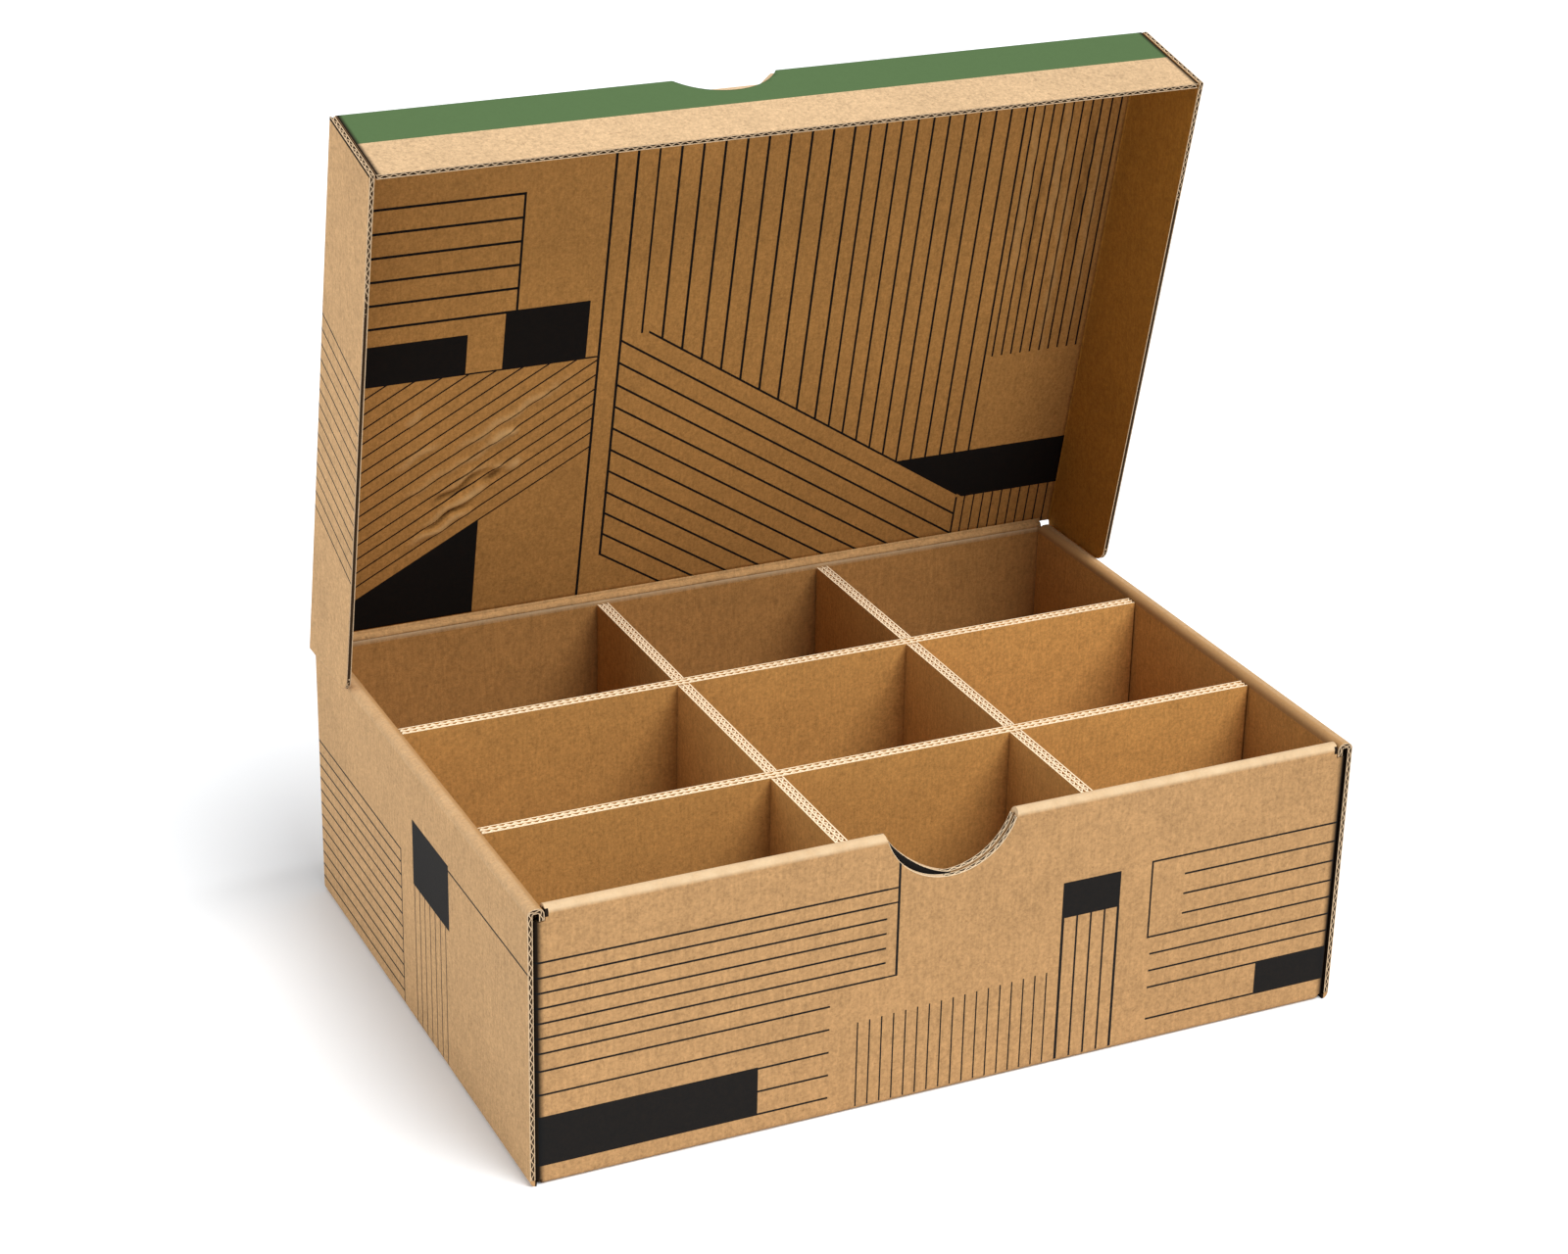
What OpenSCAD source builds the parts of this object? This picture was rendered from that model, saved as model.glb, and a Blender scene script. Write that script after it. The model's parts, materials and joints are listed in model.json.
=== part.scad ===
// Kraft gift box of corrugated board: a folded tray with rolled double walls, a hinged lid
// that shuts over it, and a grid of four slotted dividers. Millimetres, +Z up. The origin is
// the middle of the tray's underside, the front wall faces -Y and the lid hangs at the back.

/* [Tray] */
// Outer width of the tray
box_w = 299; // [240:1:360]
// Outer depth of the tray
box_d = 210; // [175:1:260]
// Height of the rim above the table
box_h = 100; // [70:1:140]
// Air between the two layers of the front wall
front_gap = 1.2; // [0.6:0.1:2]
// Depth that the corner tabs reach back inside the side walls
tab_len = 46; // [20:1:70]
// Depth of the cut at each end of the front wall, where the side rolls pass over it
roll_notch = 4.6; // [3.8:0.1:9]
// Length of side roll that is left out at the back, beside the lid's crease
roll_back = 3; // [2.5:0.5:10]

/* [Board] */
// Thickness of the box's board
board = 1.7; // [1.2:0.1:2.1]
// Outside radius of a fold
fold_r = 2.2; // [1.8:0.1:2.6]
// Air on each face of a tab that is tucked into a wall
tuck_clear = 0.25; // [0.15:0.05:0.5]
// Width of the cuts between neighbouring flaps
slit = 0.35; // [0.2:0.05:0.8]

/* [Thumb notch in the front wall] */
// Width of the notch at the rim
notch_w = 48; // [30:1:70]
// Depth of the notch below the rim
notch_depth = 19; // [12:0.5:23]
// Middle of the notch, from the middle of the box
notch_x = -3; // [-30:1:30]
// Sideways step between the notch in the outer layer and that in the inner layer
notch_step = 0; // [-3:0.5:3]
// How much flatter the inner layer's notch is on its left side
notch_flat = 2.4; // [0:0.2:3]

/* [Lid] */
// Angle that the lid stands open
lid_open = 77.5; // [60:0.5:110]
// Play between the tray's walls and the lid's flanges
lid_clear = 0.35; // [0.25:0.05:1]
// Depth of the lid's flanges, over the panel
flange_depth = 42; // [25:1:60]
// Radius of the flanges' lower front corners
flange_r = 7; // [3:0.5:12]
// Distance from the crease to the side flanges' near end; below 0 it lies past the crease
flange_start = -1; // [-1.5:0.5:12]
// Slope of the side flanges' near end
flange_slope = 12.5; // [0:0.5:25]
// Air between the lid and the rim when it is shut, and along the crease
crease_gap = 0.3; // [0.25:0.05:0.6]
// Width of the thumb notch in the lid
lid_notch_w = 40; // [25:1:60]
// Depth of that notch down the front flange
lid_notch_depth = 12; // [8:0.5:16]
// Depth of that notch into the panel
lid_notch_in = 4; // [2.5:0.5:8]
// Slope of that notch's ends, across the panel
lid_notch_end = 5.5; // [2:0.5:8]
// Middle of that notch, from the middle of the box
lid_notch_x = -13; // [-40:1:40]

/* [Dividers] */
// Thickness of the dividers' double-wall board
div_board = 4.4; // [3:0.1:6]
// Distance from the rim down to the dividers' tops
div_drop = 2.3; // [1:0.1:20]
// Middle of the front lengthwise divider
long_y_front = -47; // [-60:0.5:-35]
// Middle of the rear lengthwise divider
long_y_rear = 30.5; // [15:0.5:45]
// Middle of the left crosswise divider
cross_x_left = -39.7; // [-60:0.1:-25]
// Middle of the right crosswise divider
cross_x_right = 50.2; // [35:0.1:70]
// Air on each face of a divider in its slot
slot_clear = 0.35; // [0.2:0.05:0.8]
// Air at each end of a divider
end_clear = 0.6; // [0.3:0.1:1.5]

/* [Hidden] */
$fn = 48;
eps = 0.01;
kraft = [0.76, 0.59, 0.41];
kraft_inside = [0.62, 0.43, 0.24];

// walls and the room between them
side_gap = board + 2 * tuck_clear;
side_wall = 2 * board + side_gap;
front_wall = 2 * board + front_gap;
inner_w = box_w - 2 * side_wall;
panel_half = box_w / 2 - board - tuck_clear - fold_r;
inner_front = -box_d / 2 + front_wall;
inner_back = box_d / 2 - board;

// the crease, about which the lid turns: the middle of the back wall's rounded top
hinge_y = box_d / 2 - board / 2;
hinge_z = box_h - board / 2;

// the lid as it lies shut, measured from the crease
lid_w = box_w + 2 * (lid_clear + board);
lid_len = hinge_y + box_d / 2 + lid_clear + board;
lid_near = board / 2 + crease_gap;
lid_top = lid_near + board;
lid_low = lid_top - flange_depth;

// dividers
div_h = box_h - div_drop - board;
half_h = div_h / 2;
long_len = inner_w - 2 * end_clear;
cross_len = inner_back - inner_front - 2 * end_clear;
cross_mid = (inner_back + inner_front) / 2;

// Radius of an arc from its width and its depth
function arc_radius(w, depth) = (w * w / 4 + depth * depth) / (2 * depth);

// Outline with its two upper corners rounded
module round_top(w, h, r) {
    square([w, h - r]);
    translate([r, h - 2 * r]) square([w - 2 * r, 2 * r]);
    for (x = [r, w - r]) translate([x, h - r]) circle(r);
}

// Outline whose lower corner at 0 is rounded, where a wall folds up from the base
module foot(w, h) {
    translate([0, fold_r]) square([w, h - fold_r]);
    translate([fold_r - eps, 0]) square([max(w - fold_r, 0) + 2 * eps, fold_r + eps]);
    intersection() {
        translate([fold_r, fold_r]) circle(fold_r);
        square([fold_r, fold_r + eps]);
    }
}

// End view of a double wall: an outer layer, a rolled top and an inner layer on the base
module rolled_wall_2d(w) {
    air = w - 2 * board;
    difference() {
        intersection() {
            foot(w, box_h);
            round_top(w, box_h, fold_r);
        }
        translate([board, board]) round_top(air, box_h - 2 * board, air / 2 - eps);
    }
}

// Lays an end view along Y, its outer face turned to -X
module along_y(from, to) {
    translate([0, to, 0]) rotate([90, 0, 0]) linear_extrude(to - from) children();
}

// Lays an end view along X, its outer face turned to -Y
module along_x(from, to) {
    translate([from, 0, 0]) rotate([90, 0, 90]) linear_extrude(to - from) children();
}

module base() {
    translate([-box_w / 2 + fold_r, -box_d / 2 + fold_r, 0])
        cube([box_w - 2 * fold_r, box_d - 2 * fold_r, board]);
}

// Left side wall: the roll runs to the front, and stops short of the lid's crease
module side_wall_left() {
    inside = -box_w / 2 + board;
    difference() {
        translate([-box_w / 2, 0, 0]) along_y(-box_d / 2, box_d / 2) rolled_wall_2d(side_wall);
        // only the outer layer passes the back wall
        translate([inside, hinge_y - board / 2 - slit, board]) cube([side_wall, box_d, box_h]);
        translate([-box_w, box_d / 2 - roll_back, box_h - fold_r]) cube([box_w, box_d, box_h]);
        // below the roll, only the outer layer passes the front wall
        translate([inside, -box_d / 2 - eps, board])
            cube([side_wall, board + slit, box_h - roll_notch - board]);
        // the base ends where the front and back walls fold up from it
        for (y = [-box_d / 2 - eps, box_d / 2 - fold_r])
            translate([-box_w / 2 + fold_r, y, -eps]) cube([side_wall, fold_r + eps, fold_r]);
    }
}

// Plan of a wall panel whose two ends fold back into tabs
module tabbed_plan(reach) {
    half = box_w / 2 - board - tuck_clear;
    for (side = [-1, 1]) {
        translate([side * (half - board / 2) - board / 2, fold_r]) square([board, reach - fold_r]);
        intersection() {
            translate([side * (half - fold_r), fold_r]) difference() {
                circle(fold_r);
                circle(max(fold_r - board, eps));
            }
            translate([side * (half - fold_r / 2) - fold_r / 2 - eps, 0])
                square([fold_r + 2 * eps, fold_r + eps]);
        }
    }
    translate([-half + fold_r, 0]) square([2 * (half - fold_r), board]);
}

// Front wall: outer layer with corner tabs, and a rolled top that ends between the side rolls
module front_wall() {
    roll_half = inner_w / 2 - slit;
    single_h = box_h - roll_notch - slit;
    split = board + front_gap / 2;
    difference() {
        translate([0, -box_d / 2, 0]) {
            translate([0, 0, fold_r]) linear_extrude(single_h - fold_r) tabbed_plan(tab_len);
            along_x(-panel_half, panel_half) foot(board, single_h);
            along_x(-roll_half, roll_half) rolled_wall_2d(front_wall);
        }
        thumb_notch(notch_x, -box_d / 2 - eps, split + eps, 0);
        thumb_notch(notch_x + notch_step, -box_d / 2 + split, front_wall, notch_flat);
    }
}

// Round cut from the rim downwards, through a layer that starts at y. Its left side is flatter by
// flat, most of all half way between the rim and the lowest point.
module thumb_notch(x, y, deep, flat) {
    r = arc_radius(notch_w, notch_depth);
    rim = asin((r - notch_depth) / r);
    // angles run from the rim on the left, under the middle, to the rim on the right
    arc = [for (k = [0:40]) let (a = rim + (180 - 2 * rim) * k / 40,
                                 s = r - (k < 20 ? flat * sin(9 * k) : 0)) [-s * cos(a), -s * sin(a)]];
    over = [[notch_w / 2, notch_depth], [-notch_w / 2, notch_depth]];
    translate([x, y + deep, box_h - notch_depth + r])
        rotate([90, 0, 0]) linear_extrude(deep) polygon(concat(arc, over));
}

// End view of the back wall, up to its rounded top under the lid's crease
module back_wall_2d() {
    foot(board, hinge_z);
    translate([board / 2, hinge_z]) circle(board / 2);
}

// Back wall: one layer with corner tabs
module back_wall() {
    mirror([0, 1, 0]) translate([0, -box_d / 2, 0]) {
        translate([0, 0, fold_r]) linear_extrude(box_h - roll_notch - fold_r) tabbed_plan(tab_len);
        along_x(-panel_half, panel_half) back_wall_2d();
    }
}

module tray() {
    color(kraft) {
        base();
        side_wall_left();
        mirror([1, 0, 0]) side_wall_left();
        front_wall();
        back_wall();
    }
}

// Side view of the shut lid and its flanges, with the crease at 0 and the front at -lid_len
module lid_side() {
    low_end = -flange_start - (flange_depth - board) * tan(flange_slope);
    round_y = low_end + flange_r * (tan(flange_slope) - 1 / cos(flange_slope));
    round_z = lid_low + flange_r;
    difference() {
        polygon([[-lid_len, lid_low], [-lid_len, lid_top], [-lid_near, lid_top],
                 [-lid_near, lid_near], [-flange_start, lid_near], [low_end, lid_low]]);
        // the flanges' rounded lower corner
        difference() {
            polygon([[round_y, round_z], [round_y, lid_low - eps], [low_end + flange_r, lid_low - eps],
                     [round_y + 2 * flange_r * cos(flange_slope), round_z - 2 * flange_r * sin(flange_slope)]]);
            translate([round_y, round_z]) circle(flange_r + 2 * eps);
        }
    }
}

// The shut lid, measured from the crease
module lid_shut() {
    inside_w = lid_w - 2 * board;
    r = arc_radius(lid_notch_w, lid_notch_depth);
    near = lid_notch_w / 2 - board;
    far = near - lid_notch_end;
    difference() {
        intersection() {
            along_x(-lid_w / 2, lid_w / 2) lid_side();
            along_y(-lid_len - eps, fold_r) translate([-lid_w / 2, lid_low - eps])
                round_top(lid_w, flange_depth + eps, fold_r);
            along_x(-lid_w, lid_w) translate([-lid_len, lid_low - eps])
                round_top(2 * lid_len, flange_depth + eps, fold_r);
        }
        // the hollow under the panel
        translate([-inside_w / 2, -lid_len + board, lid_low - eps])
            cube([inside_w, lid_len + fold_r, flange_depth - board + eps]);
        // cuts between the front flange and the side flanges
        for (x = [-inside_w / 2, inside_w / 2 - slit])
            translate([x, -lid_len - eps, lid_low - eps])
                cube([slit, board + 2 * eps, flange_depth - 2 * fold_r]);
        // thumb notch, down the front flange and a little way into the panel
        translate([lid_notch_x, -lid_len - eps, lid_top - lid_notch_depth + r])
            rotate([-90, 0, 0]) cylinder(h = board + 2 * eps, r = r, $fn = 96);
        translate([lid_notch_x, -lid_len, lid_near - eps]) linear_extrude(board + 2 * eps)
            polygon([[-near, board / 2], [near, board / 2], [near, board],
                     [far, board + lid_notch_in], [-far, board + lid_notch_in], [-near, board]]);
    }
}

module lid() {
    color(kraft_inside) translate([0, hinge_y, hinge_z]) rotate([-lid_open, 0, 0]) lid_shut();
}

// Slot in a divider, as wide as the board that crosses it
module slot(from_z, to_z, wide_x, wide_y) {
    translate([-wide_x / 2, -wide_y / 2, from_z]) cube([wide_x, wide_y, to_z - from_z]);
}

// Lengthwise divider, whole along its top, with slots up from its foot
module long_divider(y) {
    color(kraft) difference() {
        translate([-long_len / 2, y - div_board / 2, board]) cube([long_len, div_board, div_h]);
        for (x = [cross_x_left, cross_x_right])
            translate([x, y, 0])
                slot(0, board + half_h + slot_clear, div_board + 2 * slot_clear, div_board + 2 * eps);
    }
}

// Crosswise divider, with slots down from its top
module cross_divider(x) {
    color(kraft) difference() {
        translate([x - div_board / 2, cross_mid - cross_len / 2, board]) cube([div_board, cross_len, div_h]);
        for (y = [long_y_front, long_y_rear])
            translate([x, y, 0])
                slot(board + half_h, box_h, div_board + 2 * eps, div_board + 2 * slot_clear);
    }
}

module divider_long_front() { long_divider(long_y_front); }
module divider_long_rear() { long_divider(long_y_rear); }
module divider_cross_left() { cross_divider(cross_x_left); }
module divider_cross_right() { cross_divider(cross_x_right); }

tray();
lid();
divider_long_front();
divider_long_rear();
divider_cross_left();
divider_cross_right();
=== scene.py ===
# %% [markdown]
# # A kraft gift box with a hinged lid and dividers
# The object is a box folded from corrugated board. Its lid stands open, and four slotted dividers
# make nine compartments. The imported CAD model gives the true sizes, so the first step loads it, and
# every piece made here is fitted to it. Lengths below are in millimetres until a mesh is made.

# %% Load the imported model
import json
import math

import bmesh
import bpy
import numpy as np
from mathutils import Matrix
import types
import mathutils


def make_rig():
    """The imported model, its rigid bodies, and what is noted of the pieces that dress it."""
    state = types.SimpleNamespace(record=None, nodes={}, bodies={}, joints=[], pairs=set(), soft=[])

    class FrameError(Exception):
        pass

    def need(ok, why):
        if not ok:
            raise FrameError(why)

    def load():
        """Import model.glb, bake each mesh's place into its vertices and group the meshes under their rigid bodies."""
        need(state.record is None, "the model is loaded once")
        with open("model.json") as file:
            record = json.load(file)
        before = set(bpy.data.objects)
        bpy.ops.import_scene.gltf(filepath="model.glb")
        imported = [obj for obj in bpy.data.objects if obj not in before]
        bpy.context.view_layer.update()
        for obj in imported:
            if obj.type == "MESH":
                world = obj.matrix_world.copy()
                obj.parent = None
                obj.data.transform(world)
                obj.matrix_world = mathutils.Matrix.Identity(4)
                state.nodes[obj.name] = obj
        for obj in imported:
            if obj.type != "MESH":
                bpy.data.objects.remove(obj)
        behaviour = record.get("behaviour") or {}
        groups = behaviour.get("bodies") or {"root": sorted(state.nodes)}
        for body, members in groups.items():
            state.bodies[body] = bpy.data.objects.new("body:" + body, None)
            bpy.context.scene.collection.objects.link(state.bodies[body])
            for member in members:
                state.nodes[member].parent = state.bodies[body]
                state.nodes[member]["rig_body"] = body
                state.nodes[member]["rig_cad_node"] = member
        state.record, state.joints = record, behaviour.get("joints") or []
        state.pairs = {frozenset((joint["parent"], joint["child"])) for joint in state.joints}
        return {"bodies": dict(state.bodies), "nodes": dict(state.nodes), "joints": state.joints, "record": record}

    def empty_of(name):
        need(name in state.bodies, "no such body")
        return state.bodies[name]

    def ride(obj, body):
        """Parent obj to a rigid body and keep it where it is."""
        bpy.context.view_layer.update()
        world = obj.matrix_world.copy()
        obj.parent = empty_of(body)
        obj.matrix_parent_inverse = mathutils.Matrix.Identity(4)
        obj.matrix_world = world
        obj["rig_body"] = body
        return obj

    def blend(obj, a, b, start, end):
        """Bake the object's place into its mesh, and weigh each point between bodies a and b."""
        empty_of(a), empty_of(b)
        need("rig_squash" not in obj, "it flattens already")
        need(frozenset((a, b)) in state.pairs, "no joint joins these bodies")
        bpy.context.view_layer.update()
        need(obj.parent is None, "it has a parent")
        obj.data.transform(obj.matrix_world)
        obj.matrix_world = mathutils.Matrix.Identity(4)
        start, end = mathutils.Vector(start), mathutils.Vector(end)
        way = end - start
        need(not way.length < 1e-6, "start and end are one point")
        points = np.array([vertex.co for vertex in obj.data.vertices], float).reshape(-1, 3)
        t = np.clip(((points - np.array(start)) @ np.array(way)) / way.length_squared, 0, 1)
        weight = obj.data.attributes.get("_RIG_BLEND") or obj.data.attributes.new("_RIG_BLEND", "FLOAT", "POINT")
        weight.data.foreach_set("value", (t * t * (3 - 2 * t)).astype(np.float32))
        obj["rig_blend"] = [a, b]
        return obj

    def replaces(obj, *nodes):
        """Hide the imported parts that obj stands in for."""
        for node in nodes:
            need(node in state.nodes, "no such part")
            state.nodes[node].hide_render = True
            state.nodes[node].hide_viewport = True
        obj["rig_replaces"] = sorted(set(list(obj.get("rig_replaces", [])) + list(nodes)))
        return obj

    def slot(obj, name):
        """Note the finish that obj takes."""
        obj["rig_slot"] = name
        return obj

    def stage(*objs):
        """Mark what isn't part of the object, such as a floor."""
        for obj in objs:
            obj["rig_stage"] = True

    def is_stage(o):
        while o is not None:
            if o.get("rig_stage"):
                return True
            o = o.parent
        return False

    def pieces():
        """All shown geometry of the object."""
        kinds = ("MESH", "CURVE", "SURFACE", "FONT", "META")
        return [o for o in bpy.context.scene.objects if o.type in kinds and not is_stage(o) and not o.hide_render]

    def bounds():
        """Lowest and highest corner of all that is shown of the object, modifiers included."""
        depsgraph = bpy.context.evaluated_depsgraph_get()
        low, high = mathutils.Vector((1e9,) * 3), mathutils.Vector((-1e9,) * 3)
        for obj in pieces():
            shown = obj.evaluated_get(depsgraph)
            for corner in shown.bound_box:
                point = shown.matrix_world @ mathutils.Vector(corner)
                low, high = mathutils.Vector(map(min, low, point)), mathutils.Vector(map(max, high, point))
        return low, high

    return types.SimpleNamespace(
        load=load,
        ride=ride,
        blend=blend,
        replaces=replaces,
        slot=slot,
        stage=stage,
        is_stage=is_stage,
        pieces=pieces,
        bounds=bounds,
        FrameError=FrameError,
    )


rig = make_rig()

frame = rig.load()
cad_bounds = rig.bounds()
nodes = frame["nodes"]
MM = 0.001
print("nodes:", sorted(nodes))

# %% [markdown]
# ## The box's sizes
# These repeat the named values of the CAD source. The hinge is the middle of the back wall's rounded
# top. The lid is drawn shut, with its lengths and heights measured from the hinge, and then turned to
# where it stands open.

# %% Sizes
BOX_W, BOX_D, BOX_H = 299.0, 210.0, 100.0
# the board's thickness, and the outer radius of a fold
BOARD, FOLD_R = 1.7, 2.2
# the inner faces of the side walls, the front wall and the back wall
SIDE_IN, FRONT_IN, BACK_IN = 143.9, -100.4, BOX_D / 2 - BOARD
# the lid's half width and its length
LID_HALF = 151.55
LID_LEN = 211.2
# heights of the panel's inner face, its outer face and the flanges' lower edge
LID_NEAR, LID_TOP, LID_LOW = 1.15, 2.85, -39.15
# where a side flange starts, the radius of its lower corner and the slope of its near end
FLANGE_START, FLANGE_R = -1.0, 7.0
FLANGE_TILT = math.radians(12.5)
FLANGE_SLOPE = math.tan(FLANGE_TILT)
hinge = next(j for j in frame["joints"] if j["name"] == "lid_hinge")
HINGE_Y, HINGE_Z = hinge["pos_m"][1] / MM, hinge["pos_m"][2] / MM
# how far the lid stands open
LID_ANGLE = math.radians(77.5)
# half the width of the flat panel, up to the side flanges' folds
SEAM = LID_HALF - FOLD_R
print("hinge at", HINGE_Y, HINGE_Z)


def lid_to_row(p):
    """Points of the shut lid, measured from the hinge, turned to where the lid stands open."""
    p = np.asarray(p, float)
    c, s = math.cos(LID_ANGLE), math.sin(LID_ANGLE)
    y = HINGE_Y + p[..., 1] * c + p[..., 2] * s
    z = HINGE_Z - p[..., 1] * s + p[..., 2] * c
    return np.stack([p[..., 0], y, z], axis=-1)


def unit(vectors):
    return vectors / np.linalg.norm(vectors, axis=-1, keepdims=True)


def add_uv(mesh, name, pairs):
    """A UV map from one pair of values for each point."""
    layer = mesh.uv_layers.new(name=name)
    index = np.zeros(len(mesh.loops), np.int32)
    mesh.loops.foreach_get("vertex_index", index)
    layer.data.foreach_set("uv", np.asarray(pairs, np.float32)[index].ravel())


def new_mesh(name, points, faces, materials=(), face_material=None, uv=None):
    """A mesh object from points in millimetres; uv is one pair for each point."""
    mesh = bpy.data.meshes.new(name)
    mesh.from_pydata([tuple(float(c) * MM for c in p) for p in points], [], faces)
    for m in materials:
        mesh.materials.append(m)
    if face_material is not None:
        mesh.polygons.foreach_set("material_index", face_material)
    if uv is not None:
        add_uv(mesh, "blank", uv)
    mesh.update()
    obj = bpy.data.objects.new(name, mesh)
    bpy.context.scene.collection.objects.link(obj)
    return obj


def solid_faces(first, rings, n):
    """Faces of a closed solid through rings of n points, which start at index first: the sides, ring
    by ring, and the two ends."""
    sides = []
    for a in range(first, first + (rings - 1) * n, n):
        sides += [(a + k, a + (k + 1) % n, a + n + (k + 1) % n, a + n + k) for k in range(n)]
    last = first + (rings - 1) * n
    return sides, [tuple(range(first, first + n)), tuple(range(last + n - 1, last - 1, -1))]


def face_outwards(mesh):
    """Turns the faces of closed shells so that they point outwards."""
    bm = bmesh.new()
    bm.from_mesh(mesh)
    bmesh.ops.recalc_face_normals(bm, faces=bm.faces)
    bm.to_mesh(mesh)
    bm.free()


# %% [markdown]
# ## Camera
# The camera was fitted to the photograph with the box's edges. It stands to the front left, above
# the box, and turns a little about its own axis. The small shift stands for the photograph's crop.

# %% Camera
YAW, PITCH, ROLL = 0.43208, -0.41331, 0.01668
CAMERA_PLACE = (-0.461134, -0.929145, 0.596499)
# the photograph's size, focal length and optical centre, in pixels
PHOTO_W, PHOTO_H, FOCAL = 1600, 1280, 3371.96
CENTRE_X, CENTRE_Y = 752, 592
SENSOR = 36
cam_data = bpy.data.cameras.new("camera")
cam = bpy.data.objects.new("camera", cam_data)
bpy.context.scene.collection.objects.link(cam)
forward = np.array([math.sin(YAW) * math.cos(PITCH), math.cos(YAW) * math.cos(PITCH), math.sin(PITCH)])
level = np.array([math.cos(YAW), -math.sin(YAW), 0.0])
upright = np.cross(level, forward)
right = math.cos(ROLL) * level + math.sin(ROLL) * upright
up = math.cos(ROLL) * upright - math.sin(ROLL) * level
turn = Matrix(np.array([right, up, -forward]).T.tolist()).to_4x4()
cam.matrix_world = Matrix.Translation(CAMERA_PLACE) @ turn
cam_data.sensor_width = SENSOR
cam_data.lens = FOCAL / PHOTO_W * SENSOR
cam_data.shift_x = (PHOTO_W / 2 - CENTRE_X) / PHOTO_W
cam_data.shift_y = (CENTRE_Y - PHOTO_H / 2) / PHOTO_W
cam_data.clip_end = 20
bpy.context.scene.camera = cam
print("lens", round(cam_data.lens, 2))

# %% [markdown]
# ## Floor and light
# The photograph shows a pure white floor with a soft grey shadow. A pale floor under an even, bright
# sky gives the soft shadow at the box's foot. A wide key from the right and above leaves the faces
# inside that look left in the shade, and a low fill behind the left side lifts only its outside.

# %% Floor and light
scene = bpy.context.scene
scene.view_settings.view_transform = "Standard"
world = bpy.data.worlds.new("studio")
scene.world = world
world.use_nodes = True
sky = world.node_tree.nodes["Background"]
sky.inputs["Color"].default_value = (1.0, 0.995, 0.985, 1)
sky.inputs["Strength"].default_value = 0.45

FLOOR_HALF = 6000.0
corners = [(x * FLOOR_HALF, y * FLOOR_HALF, 0) for x, y in ((-1, -1), (1, -1), (1, 1), (-1, 1))]
floor = new_mesh("floor", corners, [(0, 1, 2, 3)])
floor_mat = bpy.data.materials.new("floor")
floor_mat.use_nodes = True
floor_shader = floor_mat.node_tree.nodes["Principled BSDF"]
floor_shader.inputs["Base Color"].default_value = (0.90, 0.92, 0.94, 1)
floor_shader.inputs["Roughness"].default_value = 0.9
floor.data.materials.append(floor_mat)
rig.stage(floor)


def aim(obj, place, towards):
    """Puts a lamp at place, in metres, looking towards a direction."""
    back = -unit(np.array(towards, float))
    side = unit(np.cross((0, 0, 1), back))
    rows = np.array([side, np.cross(back, side), back]).T.tolist()
    obj.matrix_world = Matrix.Translation(place) @ Matrix(rows).to_4x4()
    scene.collection.objects.link(obj)


key_data = bpy.data.lights.new("key", "SUN")
key_data.energy, key_data.angle = 3.5, math.radians(42)
aim(bpy.data.objects.new("key", key_data), (0.6, -0.9, 1.7), (-0.3, 0.45, -0.85))
fill_data = bpy.data.lights.new("fill", "AREA")
fill_data.shape, fill_data.size, fill_data.energy = "SQUARE", 1.4, 15
fill_data.color = (0.93, 0.96, 1.0)
aim(bpy.data.objects.new("fill", fill_data), (-1.5, 0.45, 0.5), (1.5, -0.45, -0.4))
print("lamps:", [o.name for o in scene.objects if o.type == "LIGHT"])

# %% [markdown]
# ## Kraft paper
# Kraft liner is brown paper with a fine, cloudy grain and longer fibres. It could be one flat colour,
# but then it would look like plastic. Here noises at four scales vary its brightness, a few fibres
# are darker, and two of the noises also lift its surface. They read Object coordinates, so the grain
# has a real size. The papers inside the box and the lid are browner than the outside.

# %% Kraft helpers
# colours of the papers, of the print, of rubbed places with painted highlight, and of painted shade; some papers are
# painted darker or paler as shade, sheen and light, as noted below
KRAFT = (0.42, 0.24, 0.104)
# the sides' outer paper is paler and greyer: a painted sheen
KRAFT_SIDE_SHEEN = (0.432, 0.262, 0.124)
KRAFT_INSIDE = (0.475, 0.24, 0.070)
# the back wall's inner face is darker: painted shade
KRAFT_BACK_SHADE = (0.395, 0.192, 0.058)
KRAFT_LID_INSIDE = (0.40, 0.195, 0.056)
# the lid flanges' inner faces are darker: painted shade
KRAFT_FLANGE_INSIDE_SHADE = (0.335, 0.145, 0.024)
# the lid's front flange is paler outside: painted light
KRAFT_FLANGE_LIT = (0.535, 0.365, 0.208)
INK = (0.006, 0.0062, 0.0065)
GREEN = (0.073, 0.126, 0.050)
FIBRE = (0.16, 0.08, 0.03)
# rubbed folds and ridges that also carry a painted highlight, and painted shade on folds, creases, grooves and the cut
RUBBED_FOLD_HIGHLIGHT = (0.66, 0.50, 0.315)
SHADED_FOLD = (0.37, 0.20, 0.075)
RUBBED_RIDGE_HIGHLIGHT = (0.62, 0.40, 0.18)
DARK_CREASE = (0.10, 0.045, 0.012)
DARK_GROOVE = (0.014, 0.008, 0.004)
DARK_CUT = (0.014, 0.009, 0.004)


def link(tree, a, b):
    tree.links.new(a, b)


def put(tree, socket, value):
    """Links a socket, or sets a value on it."""
    if isinstance(value, bpy.types.NodeSocket):
        link(tree, value, socket)
    else:
        socket.default_value = value


def add_node(tree, kind, inputs=(), **settings):
    """A node with its settings, whose inputs, by name or number, are linked or set."""
    node = tree.nodes.new(kind)
    for key, value in settings.items():
        setattr(node, key, value)
    for key, value in dict(inputs).items():
        put(tree, node.inputs[key], value)
    return node


def math_node(tree, kind, *values):
    return add_node(tree, "ShaderNodeMath", enumerate(values), operation=kind).outputs[0]


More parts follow.
